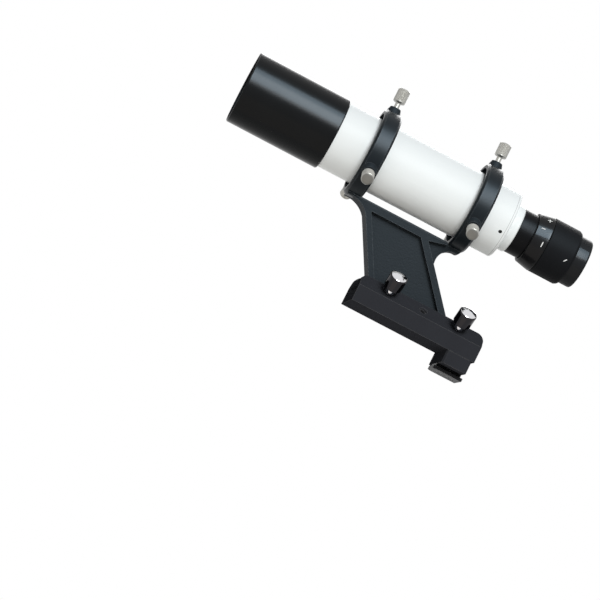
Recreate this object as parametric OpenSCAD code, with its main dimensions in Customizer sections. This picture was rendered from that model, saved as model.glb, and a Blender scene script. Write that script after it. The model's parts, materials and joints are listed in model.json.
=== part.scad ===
// Small guide scope in a two-ring bracket, on a dovetail clamp with an accessory-shoe foot.
// X runs along the optical axis from the objective to the eye, Z is up,
// and the origin is the middle of the shoe foot's underside. Millimetres.

/* [Shoe foot and riser] */
// Width of the shoe foot's plate, across the camera
foot_plate_w = 18.6; // [18:0.1:18.8]
// Length of the shoe foot's plate, along the camera
foot_plate_l = 18; // [16:0.5:20]
// Thickness of the shoe foot's plate
foot_plate_t = 2; // [1.8:0.1:2.2]
// Corner cut on the leading end of the plate
foot_plate_cut = 2; // [1:0.5:4]
// Width of the foot's neck between the lips of the shoe
foot_neck_w = 12.4; // [11:0.1:12.6]
// Height of the foot's neck
foot_neck_h = 1.8; // [1.4:0.1:3]
// Length of the riser block
riser_l = 15.8; // [12:0.2:17.6]
// Height of the riser block
riser_h = 8; // [6:0.5:14]
// Bevel on the riser's upright edges
riser_bevel = 1.2; // [0.4:0.2:2]
// Thread of the screws that hold foot, riser and clamp together
foot_screw_d = 3; // [2.5:0.5:3]
// Distance between those two screws
foot_screw_pitch = 7; // [6:0.5:8]
// Depth of the foot screws in the clamp
foot_screw_bite = 5; // [3:0.5:6]

/* [Dovetail clamp] */
// Length of the clamp
base_l = 78.5; // [72:0.5:90]
// Width of the clamp
base_w = 36.8; // [35:0.1:44]
// Height of the clamp
base_h = 17.5; // [16.6:0.1:20]
// Clamp behind the middle of the shoe foot
base_tail = 9.2; // [8.6:0.1:16]
// Height and width of the 45 degree flank that carries the screws
flank_h = 7.6; // [6:0.1:8]
// Thickness under the dovetail channel
channel_floor = 7; // [6.5:0.1:8]
// Rounding of the clamp's top ends, seen from the side
base_end_r = 4.3; // [1:0.1:6]
// Distance between the three clamp screw holes
clamp_screw_pitch = 22.2; // [16:0.2:26]
// Screw holes behind the middle of the clamp
clamp_screw_shift = 0.6; // [-2:0.1:2]
// Tapped hole for a clamp screw
clamp_screw_d = 4; // [3:0.5:5]
// Head diameter of a clamp screw
clamp_head_d = 10.8; // [8:0.2:12]
// Head length of a clamp screw
clamp_head_l = 10; // [7:0.5:14]
// Rounding of a clamp screw's end
clamp_rim = 1.4; // [0.6:0.1:2]
// Neck diameter of a clamp screw
clamp_neck_d = 5.8; // [4.6:0.2:7]
// Bare neck of a clamp screw between flank and head
clamp_neck_l = 4.8; // [2:0.2:7]

/* [Ring bracket] */
// Height of the optical axis over the clamp's top
stalk_rise = 65; // [58:0.1:74]
// Thickness of the stalk
stalk_t = 13; // [10:0.5:14]
// Depth of the sunk panel on each side of the stalk
panel_depth = 2.8; // [1:0.2:4]
// Length of the stalk where it leaves the clamp
stalk_l = 50.4; // [44:0.2:56]
// Stalk behind the front end of its dovetail foot
stalk_inset = 1; // [0.2:0.1:6]
// Length of the dovetail foot
tail_l = 63.6; // [58:0.1:70]
// Dovetail foot behind the clamp's front end
tail_inset = 3.2; // [0.2:0.1:4]
// Width of the dovetail foot at its bottom
tail_w = 27; // [24:0.5:28]
// Upright edge of the dovetail foot
tail_edge = 1.8; // [1:0.1:2.2]
// Lean of the stalk's front edge
front_lean = 29.2; // [22:0.2:34]
// Lean of the stalk's rear edge
rear_lean = 39.8; // [34:0.2:44]
// Width of the stalk's front rib, along the tube
front_rib = 3.9; // [3:0.1:9]
// Width of the stalk's rear rib, along the tube
rear_rib = 5.1; // [4:0.1:9]
// Drop of the stalk's top rail under the bore of the rings
rail_drop = 2; // [0:0.1:3]
// Height of the stalk's top rail
top_rail = 4.8; // [4:0.1:7]
// Thickness of the arm behind the rear rib
arm_t = 7; // [5:0.5:10]
// Fillet between front ring and stalk
front_fillet = 16; // [10:0.5:18]
// Fillet between rear ring and stalk
rear_fillet = 8.7; // [6:0.1:11]
// Upright edge of the rear arm under its fillet
arm_notch = 3.6; // [1:0.1:6]
// Distance between the two rings
ring_spacing = 66.8; // [62:0.2:74]
// Rear ring's centre ahead of the middle of the shoe foot
ring_setback = 27.1; // [24:0.1:32]
// Width of a ring
ring_w = 10.5; // [8:0.5:13]
// Wall of a ring
ring_wall = 3.2; // [2.4:0.1:4.5]
// Bevel on a ring's edges
ring_bevel = 1.3; // [0.4:0.1:2]
// Room between tube and ring
ring_room = 3.3; // [3:0.1:5]
// Height of a screw boss over the ring
boss_rise = 3.3; // [1:0.1:5]
// Diameter of a screw boss at its top
boss_d = 6.5; // [6:0.1:8]
// Diameter of a screw boss at its root
boss_root_d = 9.4; // [8:0.1:10]

/* [Ring screws] */
// Tapped hole for a ring screw
ring_screw_d = 4; // [3:0.5:5]
// Neck diameter of a ring screw
ring_neck_d = 3.2; // [2.4:0.1:3.6]
// Bare neck of a ring screw between boss and head
ring_neck_l = 3.8; // [3:0.1:6]
// Head diameter of a ring screw
ring_head_d = 7.3; // [6:0.1:9]
// Head length of a ring screw
ring_head_l = 8.4; // [6:0.1:12]
// Length of the nylon tip
tip_l = 1.5; // [1:0.1:1.8]
// Diameter of the nylon tip
tip_d = 3; // [2.6:0.1:3.4]

/* [Tube and dew shield] */
// Outside diameter of the main tube
tube_od = 41; // [39:0.2:44]
// Wall of the main tube
tube_wall = 1.5; // [1:0.1:2]
// Tube ahead of the front ring's centre
tube_nose = 50.6; // [42:0.2:56]
// Tube and rear flange behind the rear ring's centre
tube_tail = 20.4; // [16:0.2:24]
// Length of the dew shield
dew_l = 58.2; // [54:0.2:70]
// Wall of the dew shield
dew_wall = 1.2; // [0.8:0.1:2]
// Dew shield's rear rim ahead of the front ring's centre
dew_setback = 25.3; // [24:0.1:32]
// Rounding of the dew shield's rims
dew_edge = 0.6; // [0.2:0.1:0.8]

/* [Objective] */
// Wall of the objective cell round the lenses
cell_wall = 2.2; // [1.8:0.1:3.6]
// Seat round the edge of each lens
lens_seat = 1.2; // [0.8:0.1:2]
// Edge thickness of the crown lens
crown_edge = 3.5; // [2.5:0.1:5]
// Bulge of the crown lens at the front
crown_bulge = 1.6; // [0.8:0.1:2]
// Bulge of the crown into the flint
inner_bulge = 1.2; // [0.6:0.1:2]
// Edge thickness of the flint lens
flint_edge = 4.5; // [3.5:0.1:6]
// Thickness of the spacer between the lenses
lens_gap = 0.5; // [0.3:0.1:1]
// Thickness of the retaining ring
retainer_t = 2.5; // [2.2:0.1:4]
// Length of the cell inside the tube
cell_spigot = 8; // [5:0.5:12]
// Depth of the front glare stop, from the tube's bore inwards
front_stop_depth = 3.5; // [2:0.5:6]
// Depth of the rear glare stop, from the tube's bore inwards
rear_stop_depth = 6.5; // [5:0.5:9]

/* [Rear cell and neck] */
// Thickness of the rear flange
flange_t = 1.6; // [1:0.1:2.4]
// Bevel of the rear flange
flange_bevel = 0.6; // [0.2:0.1:0.9]
// Diameter of the hub behind the flange
hub_d = 28.8; // [28.2:0.1:31]
// Length of the hub
hub_l = 5.9; // [3:0.1:8]
// Length of the rear cell inside the tube
rear_spigot = 12; // [9:0.5:16]
// Grub screws behind the front edge of the rear flange, into the tube
grub_setback = 2.4; // [2:0.1:4]
// Diameter of the grub screws
grub_d = 2.2; // [1.6:0.1:2.6]
// Diameter of the focuser neck
neck_d = 27.5; // [26.6:0.1:28]
// Bare length of the focuser neck
neck_l = 8.9; // [6:0.1:12]
// Bore of the focuser neck
neck_bore = 23.6; // [22:0.1:24]

/* [Eyepiece] */
// Travel of the focuser each way
focus_travel = 3; // [1:0.5:4]
// Length of the focus sleeve
sleeve_l = 27.2; // [26:0.1:34]
// Diameter of the sleeve's front edge
sleeve_front_d = 31; // [30:0.1:32]
// Diameter over the rubber grip
grip_d = 34.3; // [33.6:0.1:37]
// Length of the smooth tapered band
band_l = 9.2; // [6:0.1:11]
// Straight part of that band, behind its taper
band_flat = 0.9; // [0.4:0.1:2]
// Thickness of the rubber grip
grip_t = 1.2; // [0.9:0.1:1.4]
// Bevel at the grip's rear edge
grip_bevel = 0.8; // [0.3:0.1:1]
// Diameter of the eyecup
eyecup_d = 30; // [28:0.1:31]
// Length of the eyecup behind the sleeve
eyecup_l = 8; // [5:0.1:12]
// Opening of the eyecup at the eye
eyecup_mouth_d = 23; // [21:0.5:25]
// Clear diameter through the eyepiece
eye_clear_d = 17; // [14:0.5:17.4]
// Wall of the lens barrel
barrel_wall = 1.6; // [1.2:0.1:1.8]
// Edge thickness of each eyepiece lens
eye_lens_edge = 2.2; // [1.6:0.1:3]
// Bulge of the eyepiece lenses
eye_lens_bulge = 1.6; // [0.8:0.1:2]
// Length of the tube between the eyepiece lenses
eye_spacer_l = 8; // [6:0.5:9]
// Thickness of the crosshair wires
wire_d = 0.24; // [0.16:0.02:0.4]

/* [Hidden] */
$fn = 96;

// Clearances: screwed or seated in one body, and running between bodies
fit = 0.1;
run = 0.2;
tip_gap = 0.3;
eps = 0.01;

// Small edge breaks and steps
edge = 0.4;
small_edge = 0.2;
seat_step = 0.5;
neck_flare = 0.9;

// How far a cut runs past the face that it opens
past = 1;

// How far a blended form runs into the one it grows from
lap = 1;
fillet_lap = 0.2;

// Heights, from the foot's underside to the optical axis
neck_top_z = foot_plate_t + foot_neck_h;
riser_top_z = neck_top_z + riser_h;
base_top_z = riser_top_z + base_h;
axis_z = base_top_z + stalk_rise;

// Clamp
base_rear_x = base_tail;
base_front_x = base_rear_x - base_l;
base_mid_x = (base_front_x + base_rear_x) / 2;
channel_z = riser_top_z + channel_floor;
flank_y = -(base_w - flank_h) / 2;
flank_z = base_top_z - flank_h / 2;
clamp_hole_x = [for (i = [-1 : 1]) base_mid_x + clamp_screw_shift + i * clamp_screw_pitch];

// Dovetail foot of the bracket
tail_front_x = base_front_x + tail_inset;
tail_rear_x = tail_front_x + tail_l;
stalk_front_x = tail_front_x + stalk_inset;
stalk_rear_x = stalk_front_x + stalk_l;
tail_z = channel_z + run;
tail_slope_h = (tail_w - stalk_t) / 2;
tail_slope_z = tail_z + tail_edge;
// Distance from the flank to the dovetail's slope, square to both
flank_to_tail = ((flank_z - tail_slope_z) - (flank_y + tail_w / 2)) / sqrt(2);

// Rings
rear_ring_x = -ring_setback;
front_ring_x = rear_ring_x - ring_spacing;
ring_x = [front_ring_x, rear_ring_x];
ring_ir = tube_od / 2 + ring_room;
ring_or = ring_ir + ring_wall;
boss_r = ring_or + boss_rise;
ring_screw_turns = [0, 120, 240];
tip_peg = 1.6;

// Stalk edges: x on the front and rear edge at height z
web_top_z = axis_z - ring_ir - rail_drop;
ring_low_z = axis_z - ring_or;
ring_mid_z = axis_z - ring_ir - ring_wall / 2;
ring_half = ring_w / 2 - ring_bevel - edge;
shoulder_low_z = ring_low_z - edge;
arm_low_z = ring_low_z - rail_drop;
function front_edge(z) = stalk_front_x - (z - base_top_z) * tan(front_lean);
function rear_edge(z) = stalk_rear_x - (z - base_top_z) * tan(rear_lean);
front_fillet_z = shoulder_low_z - front_fillet;
front_fillet_x = front_edge(front_fillet_z) - (front_fillet - fillet_lap) / cos(front_lean);
front_touch_z = front_fillet_z + front_fillet * sin(front_lean);
rear_fillet_z = arm_low_z - rear_fillet;
notch_z = rear_fillet_z - arm_notch;
rear_fillet_x = rear_edge(notch_z) + rear_fillet - fillet_lap;
panel_top_z = web_top_z - top_rail;
panel_low_z = base_top_z - seat_step;
web_t = stalk_t - 2 * panel_depth;

// Tube and what is in it
tube_id = tube_od - 2 * tube_wall;
tube_front_x = front_ring_x - tube_nose;
rear_rim_x = rear_ring_x + tube_tail;
tube_rear_x = rear_rim_x - flange_t;
front_stop_x = front_ring_x;
rear_stop_x = (front_ring_x + rear_ring_x) / 2;
slot_w = 2;
slot_depth = 1;
stop_t = 1.2;
stop_rim = 6;
stop_wall = 1.1;
stop_bevel = 0.6;
front_stop_d = tube_id - 2 * front_stop_depth;
rear_stop_d = tube_id - 2 * rear_stop_depth;
rear_spigot_wall = 3;
grub_x = tube_rear_x - grub_setback;
grub_turns = [115, 235, 355];

// Objective stack, from its seat forwards
lens_d = tube_od - 2 * cell_wall - 2 * fit;
lens_seat_x = tube_front_x - seat_step;
flint_front_x = lens_seat_x - flint_edge;
crown_rear_x = flint_front_x - lens_gap;
crown_front_x = crown_rear_x - crown_edge;
retainer_x = crown_front_x - retainer_t;
cell_front_x = retainer_x - seat_step;
lens_clear_r = lens_d / 2 - lens_seat;

// Dew shield
dew_ir = tube_od / 2 + run + fit;
dew_or = dew_ir + dew_wall;
dew_rear_x = front_ring_x - dew_setback;
dew_front_x = dew_rear_x - dew_l;

// Neck and eyepiece
hub_rear_x = rear_rim_x + hub_l;
sleeve_front_x = hub_rear_x + neck_l;
sleeve_rear_x = sleeve_front_x + sleeve_l;
eyecup_rear_x = sleeve_rear_x + eyecup_l;
neck_step = 0.65;
neck_spigot_d = neck_d - 2 * neck_step;
neck_bite = 2.2;
neck_front_x = tube_rear_x - neck_bite;
sleeve_bore_r = neck_d / 2 + run + fit;
sleeve_core_r = grip_d / 2 - grip_t;
barrel_r = neck_bore / 2 - run - fit;
barrel_bore_r = barrel_r - barrel_wall;
barrel_front_x = sleeve_front_x + seat_step;
eyecup_plug = 2.6;
eyecup_front_x = sleeve_rear_x - eyecup_plug;
barrel_rear_x = eyecup_front_x - run;
barrel_flange_t = 3;
flange_front_x = barrel_rear_x - barrel_flange_t;
rib_t = 1.4;
rib_rear_x = flange_front_x - run - fit;
neck_rear_x = rib_rear_x - rib_t - focus_travel - seat_step;
eyecup_edge = 1.2;
wire_ring_t = 1.6;
wire_inset = 3;
wire_seat_x = barrel_front_x + wire_inset;
wire_lip_t = 2.6;
eye_stack_x = wire_seat_x + wire_lip_t;
field_rear_x = eye_stack_x + eye_lens_edge;
eye_front_x = field_rear_x + eye_spacer_l;
eye_rear_x = eye_front_x + eye_lens_edge;
eye_ring_t = 2;

// Shared shapes

// A turned piece on the optical axis, from a profile of [x, radius]
module turned(profile)
    translate([0, 0, axis_z]) rotate([0, 90, 0])
        rotate_extrude() polygon([for (p = profile) [p[1], p[0]]]);

// A plain ring on the optical axis
module turned_ring(x0, x1, r_in, r_out)
    turned([[x0, r_in], [x1, r_in], [x1, r_out], [x0, r_out]]);

// A rod along X on the optical axis
module axis_rod(x0, x1, r)
    translate([x0, 0, axis_z]) rotate([0, 90, 0]) cylinder(h = x1 - x0, r = r);

// A rod along Y, centred on the mid plane
module cross_rod(x, z, r, length)
    translate([x, 0, z]) rotate([90, 0, 0]) cylinder(h = length, r = r, center = true);

// A plate in the XZ plane, centred on the mid plane
module plate(points, t)
    rotate([90, 0, 0]) linear_extrude(t, center = true) polygon(points);

// A bar along X with an outline in the YZ plane
module bar(x0, x1, points)
    translate([x0, 0, 0]) rotate([90, 0, 90]) linear_extrude(x1 - x0) polygon(points);

// Children stand with +Z pointing out from the optical axis
module at_ring_screw(x, turn)
    translate([x, 0, axis_z]) rotate([turn, 0, 0]) children();

// Children stand with +Z pointing out of the clamp's near flank
module at_clamp_hole(x)
    translate([x, flank_y, flank_z]) rotate([45, 0, 0]) children();

// Children stand at both foot screws
module at_foot_screws()
    for (side = [-1, 1]) translate([side * foot_screw_pitch / 2, 0, 0]) children();

// Radius of a sphere whose cap has a base of radius r and a height of bulge
function cap_radius(r, bulge) = (r * r + bulge * bulge) / (2 * bulge);

// Height of that cap over its base, at radius q; a hollow has a negative bulge
function cap_height(r, bulge, q) =
    bulge == 0 ? 0 : sign(bulge) * (sqrt(pow(cap_radius(r, abs(bulge)), 2) - q * q)
        - cap_radius(r, abs(bulge)) + abs(bulge));

// Lens with a flat seat round its edge and a bulged or hollow face at either end
module turned_lens(x0, x1, edge_r, clear_r, front_bulge, rear_bulge) {
    steps = 10;
    turned(concat(
        [for (i = [0 : steps]) let (q = clear_r * i / steps) [x0 - cap_height(clear_r, front_bulge, q), q]],
        [[x0, edge_r], [x1, edge_r]],
        [for (i = [steps : -1 : 0]) let (q = clear_r * i / steps)
            [x1 + cap_height(clear_r, rear_bulge, q), q]]));
}

// Shoe foot, riser and clamp

module shoe_foot() color("dimgray") {
    half_w = foot_plate_w / 2;
    half_l = foot_plate_l / 2;
    difference() {
        union() {
            linear_extrude(foot_plate_t) polygon([
                [-half_l, -half_w + foot_plate_cut], [-half_l + foot_plate_cut, -half_w],
                [half_l, -half_w], [half_l, half_w],
                [-half_l + foot_plate_cut, half_w], [-half_l, half_w - foot_plate_cut]]);
            translate([-riser_l / 2, -foot_neck_w / 2, 0]) cube([riser_l, foot_neck_w, neck_top_z]);
        }
        at_foot_screws() {
            translate([0, 0, -past]) cylinder(h = neck_top_z + 2 * past, d = foot_screw_d + 2 * fit);
            translate([0, 0, -eps]) cylinder(h = foot_screw_d / 2 + fit,
                d1 = 2 * foot_screw_d + 2 * fit, d2 = foot_screw_d);
        }
    }
}

module shoe_riser() color("#3a373c") {
    half_l = riser_l / 2;
    half_w = base_w / 2;
    difference() {
        translate([0, 0, neck_top_z]) linear_extrude(riser_h) polygon([
            [-half_l, -half_w + riser_bevel], [-half_l + riser_bevel, -half_w],
            [half_l - riser_bevel, -half_w], [half_l, -half_w + riser_bevel],
            [half_l, half_w - riser_bevel], [half_l - riser_bevel, half_w],
            [-half_l + riser_bevel, half_w], [-half_l, half_w - riser_bevel]]);
        at_foot_screws() translate([0, 0, neck_top_z - past])
            cylinder(h = riser_h + 2 * past, d = foot_screw_d + 2 * fit);
    }
}

// Two countersunk screws, driven up from the underside of the foot
module foot_screws() color("silver")
    at_foot_screws() {
        head_h = foot_screw_d / 2;
        difference() {
            translate([0, 0, fit]) {
                cylinder(h = head_h, d1 = 2 * foot_screw_d - 2 * fit, d2 = foot_screw_d - 2 * fit);
                cylinder(h = riser_top_z + foot_screw_bite - fit, d = foot_screw_d - 2 * fit);
            }
            cylinder(h = head_h * 0.8, d = foot_screw_d * 0.6, $fn = 6);
        }
    }

// Outline of the dovetail, widened by a clearance, up to top_z
function dovetail(grow, low_z, top_z) = [
    [-tail_w / 2 - grow, low_z], [tail_w / 2 + grow, low_z],
    [tail_w / 2 + grow, tail_slope_z + grow * tan(22.5)],
    [stalk_t / 2 + grow, tail_slope_z + tail_slope_h + grow * tan(22.5)],
    [stalk_t / 2 + grow, top_z], [-stalk_t / 2 - grow, top_z],
    [-stalk_t / 2 - grow, tail_slope_z + tail_slope_h + grow * tan(22.5)],
    [-tail_w / 2 - grow, tail_slope_z + grow * tan(22.5)]];

// What is cut away to round a top end of the clamp; way is -1 at the front and 1 at the rear
module base_end_cut(x, way)
    difference() {
        translate([x - base_end_r * (way > 0 ? 1 : 0) + (way > 0 ? eps : -eps), -base_w,
            base_top_z - base_end_r + eps]) cube([base_end_r, 2 * base_w, base_end_r]);
        cross_rod(x - way * base_end_r, base_top_z - base_end_r, base_end_r, 3 * base_w);
    }

module clamp_base() color("#413c41")
    difference() {
        bar(base_front_x, base_rear_x, [
            [-base_w / 2, riser_top_z], [base_w / 2, riser_top_z],
            [base_w / 2, base_top_z - flank_h], [base_w / 2 - flank_h, base_top_z],
            [-base_w / 2 + flank_h, base_top_z], [-base_w / 2, base_top_z - flank_h]]);
        bar(base_front_x - past, base_rear_x + past, dovetail(run, channel_z, base_top_z + past));
        base_end_cut(base_front_x, -1);
        base_end_cut(base_rear_x, 1);
        for (x = clamp_hole_x) at_clamp_hole(x)
            translate([0, 0, -flank_to_tail - past])
                cylinder(h = flank_to_tail + 2 * past, d = clamp_screw_d);
        at_foot_screws() translate([0, 0, riser_top_z - past])
            cylinder(h = foot_screw_bite + seat_step + past, d = foot_screw_d);
    }

// Polished thumbscrew with a round-edged head
module clamp_screw(x) color("gainsboro")
    at_clamp_hole(x) {
        thread_r = clamp_screw_d / 2 - fit;
        neck_r = clamp_neck_d / 2;
        head_r = clamp_head_d / 2;
        low = run - flank_to_tail;
        top = clamp_neck_l + clamp_head_l;
        rotate_extrude() polygon(concat(
            [[0, low], [thread_r - edge, low], [thread_r, low + edge], [thread_r, edge], [neck_r, 2 * edge],
             [neck_r, clamp_neck_l - edge], [neck_r + edge, clamp_neck_l], [head_r - edge, clamp_neck_l],
             [head_r, clamp_neck_l + edge]],
            [for (i = [0 : 4]) [head_r - clamp_rim + clamp_rim * cos(i * 22.5),
                top - clamp_rim + clamp_rim * sin(i * 22.5)]],
            [[0, top]]));
    }

module clamp_screw_front() clamp_screw(clamp_hole_x[0]);
module clamp_screw_rear() clamp_screw(clamp_hole_x[2]);

// Ring bracket, one casting

module ring_body(x) {
    half = ring_w / 2;
    turned([[x - half, ring_ir], [x + half, ring_ir], [x + half, ring_or - ring_bevel],
        [x + half - ring_bevel, ring_or], [x - half + ring_bevel, ring_or],
        [x - half, ring_or - ring_bevel]]);
    for (turn = ring_screw_turns) at_ring_screw(x, turn)
        translate([0, 0, ring_or - lap]) cylinder(h = boss_rise + lap, d1 = boss_root_d, d2 = boss_d);
}

// Leaning frame of the stalk, from the dovetail foot up to the top rail
module stalk_frame()
    plate([[front_edge(base_top_z - lap), base_top_z - lap], [rear_edge(base_top_z - lap), base_top_z - lap],
        [rear_edge(web_top_z), web_top_z], [front_edge(web_top_z), web_top_z]], stalk_t);

// Shoulder that carries the front ring, with its fillet to the stalk
module front_shoulder()
    difference() {
        plate([[front_ring_x - ring_half, front_touch_z], [front_edge(front_touch_z) + lap, front_touch_z],
            [front_edge(web_top_z) + lap, web_top_z], [front_ring_x + ring_half, web_top_z],
            [front_ring_x + ring_half, ring_mid_z], [front_ring_x - ring_half, ring_mid_z]], stalk_t);
        cross_rod(front_fillet_x, front_fillet_z, front_fillet, 2 * stalk_t);
    }

// Thin arm that carries the rear ring, with its fillet to the stalk
module rear_arm()
    difference() {
        plate([[rear_edge(notch_z) - lap, notch_z], [rear_edge(notch_z), notch_z],
            [rear_edge(notch_z), rear_fillet_z], [rear_fillet_x + lap, rear_fillet_z],
            [rear_ring_x + ring_half, shoulder_low_z], [rear_ring_x + ring_half, ring_mid_z],
            [rear_ring_x - ring_half, ring_mid_z], [rear_ring_x - ring_half, web_top_z - edge],
            [rear_edge(web_top_z) - lap, web_top_z - edge]], arm_t);
        cross_rod(rear_fillet_x, rear_fillet_z, rear_fillet, 2 * stalk_t);
    }

// Top rail that runs on from the stalk to the rear ring, with a round end
module rear_rail() {
    rail_r = (web_top_z - ring_low_z) / 2 + edge;
    rail_end = rear_ring_x - ring_w / 2 - rail_r - edge;
    plate(concat([[rear_edge(web_top_z) - lap, web_top_z]],
        [for (turn = [0 : 30 : 180])
            [rail_end + rail_r * sin(turn), web_top_z - rail_r + rail_r * cos(turn)]],
        [[rear_edge(panel_top_z) - lap, panel_top_z]]), stalk_t);
}

// Sunk panel between the ribs, cut from one side of the stalk
module panel_cut(side)
    translate([0, side * (stalk_t - panel_depth) / 2, 0])
        plate([[front_edge(panel_low_z) + front_rib, panel_low_z],
            [rear_edge(panel_low_z) - rear_rib, panel_low_z],
            [rear_edge(panel_top_z) - rear_rib, panel_top_z],
            [front_edge(panel_top_z) + front_rib, panel_top_z]], panel_depth + eps);

module ring_bracket() color("#24282c")
    difference() {
        union() {
            for (x = ring_x) ring_body(x);
            stalk_frame();
            front_shoulder();
            rear_arm();
            rear_rail();
            bar(tail_front_x, tail_rear_x, dovetail(0, tail_z, base_top_z));
        }
        for (side = [-1, 1]) panel_cut(side);
        for (x = ring_x) {
            axis_rod(x - ring_w, x + ring_w, ring_ir);
            for (turn = ring_screw_turns) at_ring_screw(x, turn)
                translate([0, 0, ring_ir - past]) cylinder(h = boss_r - ring_ir + 2 * past, d = ring_screw_d);
        }
    }

// Ring screws with nylon tips

// Knurled thumbscrew: thread, waisted neck and a slightly domed head
module ring_screw(x, turn) color("#c9c6bf")
    at_ring_screw(x, turn) {
        thread_r = ring_screw_d / 2 - fit;
        neck_r = ring_neck_d / 2;
        head_r = ring_head_d / 2;
        low = tube_od / 2 + tip_gap + tip_l;
        head_z = boss_r + ring_neck_l;
        difference() {
            rotate_extrude() polygon([
                [0, low], [thread_r - edge, low], [thread_r, low + edge], [thread_r, boss_r + small_edge],
                [neck_r, boss_r + edge], [neck_r, head_z - neck_flare], [neck_r + neck_flare, head_z],
                [head_r - edge, head_z], [head_r, head_z + edge], [head_r, head_z + ring_head_l - 2 * edge],
                [head_r - 2 * edge, head_z + ring_head_l - small_edge], [head_r / 2, head_z + ring_head_l],
                [0, head_z + ring_head_l]]);
            translate([0, 0, low - past]) cylinder(h = tip_peg + edge + past, r = tip_d / 4 + fit);
        }
    }

// Nylon tip, pressed into the end of a ring screw
module ring_tip(x, turn) color("ivory")
    at_ring_screw(x, turn) {
        low = tube_od / 2 + tip_gap;
        tip_r = tip_d / 2;
        rotate_extrude() polygon([
            [0, low], [tip_r - edge, low], [tip_r, low + edge], [tip_r, low + tip_l - fit / 2],
            [tip_r / 2, low + tip_l - fit / 2], [tip_r / 2, low + tip_l + tip_peg],
            [0, low + tip_l + tip_peg]]);
    }

module front_top_screw() ring_screw(front_ring_x, ring_screw_turns[0]);
module front_near_screw() ring_screw(front_ring_x, ring_screw_turns[1]);
module front_far_screw() ring_screw(front_ring_x, ring_screw_turns[2]);
module rear_top_screw() ring_screw(rear_ring_x, ring_screw_turns[0]);
module rear_near_screw() ring_screw(rear_ring_x, ring_screw_turns[1]);
module rear_far_screw() ring_screw(rear_ring_x, ring_screw_turns[2]);
module front_top_tip() ring_tip(front_ring_x, ring_screw_turns[0]);
module front_near_tip() ring_tip(front_ring_x, ring_screw_turns[1]);
module front_far_tip() ring_tip(front_ring_x, ring_screw_turns[2]);
module rear_top_tip() ring_tip(rear_ring_x, ring_screw_turns[0]);
module rear_near_tip() ring_tip(rear_ring_x, ring_screw_turns[1]);
module rear_far_tip() ring_tip(rear_ring_x, ring_screw_turns[2]);

// Tube, dew shield and objective

module dew_shield() color("#141414")
    turned([[dew_front_x + dew_edge / 2, dew_ir], [dew_rear_x - dew_edge / 2, dew_ir],
        [dew_rear_x, dew_ir + dew_edge / 2], [dew_rear_x, dew_or - dew_edge],
        [dew_rear_x - dew_edge, dew_or], [dew_front_x + dew_edge, dew_or],
        [dew_front_x, dew_or - dew_edge], [dew_front_x, dew_ir + dew_edge / 2]]);

module grub_holes(d)
    for (turn = grub_turns) at_ring_screw(grub_x, turn)
        translate([0, 0, tube_id / 2 - rear_spigot_wall])
            cylinder(h = tube_wall + rear_spigot_wall + past, d = d);

module main_tube() color("white")
    difference() {
        turned_ring(tube_front_x, tube_rear_x, tube_id / 2, tube_od / 2);
        grub_holes(grub_d);
    }

module objective_cell() color("#202020") {
    bore_r = lens_d / 2 + fit;
    spigot_r = tube_id / 2 - fit;
    turned([[cell_front_x, bore_r], [lens_seat_x, bore_r], [lens_seat_x, lens_clear_r],
        [tube_front_x + cell_spigot, lens_clear_r], [tube_front_x + cell_spigot, spigot_r],
        [tube_front_x, spigot_r], [tube_front_x, tube_od / 2], [cell_front_x + edge, tube_od / 2],
        [cell_front_x, tube_od / 2 - edge]]);
}

module crown_lens() color("#9fc4c0", 0.5)
    turned_lens(crown_front_x, crown_rear_x, lens_d / 2, lens_clear_r, crown_bulge, inner_bulge);

module lens_spacer() color("silver")
    turned_ring(crown_rear_x, flint_front_x, lens_clear_r, lens_d / 2);

module flint_lens() color("#9fc4c0", 0.5)
    turned_lens(flint_front_x, lens_seat_x, lens_d / 2, lens_clear_r, -inner_bulge, 0);

module lens_retaining_ring() color("#202020")
    difference() {
        turned_ring(retainer_x, crown_front_x, lens_clear_r, lens_d / 2);
        for (turn = [0, 180]) at_ring_screw(retainer_x, turn)
            translate([-past, -slot_w / 2, lens_clear_r - past])
                cube([slot_depth + past, slot_w, lens_seat + 2 * past]);
    }

// Blackened ring with a thin lip and a rim that bears on the tube
module glare_stop(x, opening)
    turned([[x, opening / 2], [x + stop_t, opening / 2 + stop_bevel],
        [x + stop_t, tube_id / 2 - fit - stop_wall], [x + stop_rim, tube_id / 2 - fit - stop_wall],
        [x + stop_rim, tube_id / 2 - fit], [x, tube_id / 2 - fit]]);

module front_glare_stop() color("#1a1a1a") glare_stop(front_stop_x, front_stop_d);
module rear_glare_stop() color("#1a1a1a") glare_stop(rear_stop_x, rear_stop_d);

module rear_cell() color("white")
    difference() {
        bore_r = neck_spigot_d / 2 + fit;
        spigot_r = tube_id / 2 - fit;
        wall_r = spigot_r - rear_spigot_wall;
        turned([[tube_rear_x - rear_spigot, wall_r], [neck_front_x, wall_r], [neck_front_x, bore_r],
            [hub_rear_x, bore_r], [hub_rear_x, hub_d / 2 - flange_bevel],
            [hub_rear_x - flange_bevel, hub_d / 2], [rear_rim_x, hub_d / 2],
            [rear_rim_x, tube_od / 2 - flange_bevel], [rear_rim_x - flange_bevel, tube_od / 2],
            [tube_rear_x, tube_od / 2], [tube_rear_x, spigot_r], [tube_rear_x - rear_spigot, spigot_r]]);
        grub_holes(grub_d);
    }

// Three grub screws, sunk below the tube's surface
module cell_grub_screws() color("#202020")
    for (turn = grub_turns) at_ring_screw(grub_x, turn) difference() {
        translate([0, 0, tube_id / 2 - rear_spigot_wall + edge])
            cylinder(h = tube_wall + rear_spigot_wall - 3 * edge, d = grub_d - 2 * fit);
        translate([0, 0, tube_od / 2 - 4 * edge]) cylinder(h = 4 * edge + past, d = grub_d / 2, $fn = 6);
    }

// Focuser and eyepiece

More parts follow.
